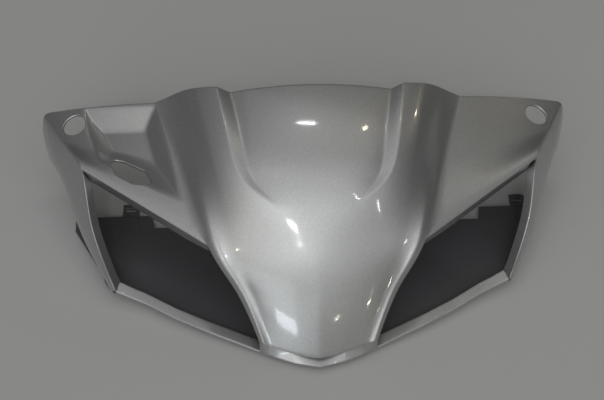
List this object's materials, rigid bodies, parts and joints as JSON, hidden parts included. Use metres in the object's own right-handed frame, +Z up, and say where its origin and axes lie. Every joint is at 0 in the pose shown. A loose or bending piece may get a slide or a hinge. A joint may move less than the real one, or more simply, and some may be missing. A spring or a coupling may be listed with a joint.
{
  "type": "indicator lamp cover",
  "caption": "Moulded front handlebar cover with a crowned nose, two wings, lamp openings under the wings and mirror-stem holes.",
  "frame": {"origin": "middle of the two rear screw bosses, on their rear faces", "axes": "+X to the viewer's right as seen from the front, +Y to the rear, +Z up, as the cover is mounted on the handlebar"},
  "size_m": [0.4766, 0.2285, 0.143],
  "materials": {
    "silver_paint": "silver metallic paint on moulded ABS"
  },
  "bodies": {
    "root": {"lamp_cover": "silver_paint"}
  },
  "joints": []
}
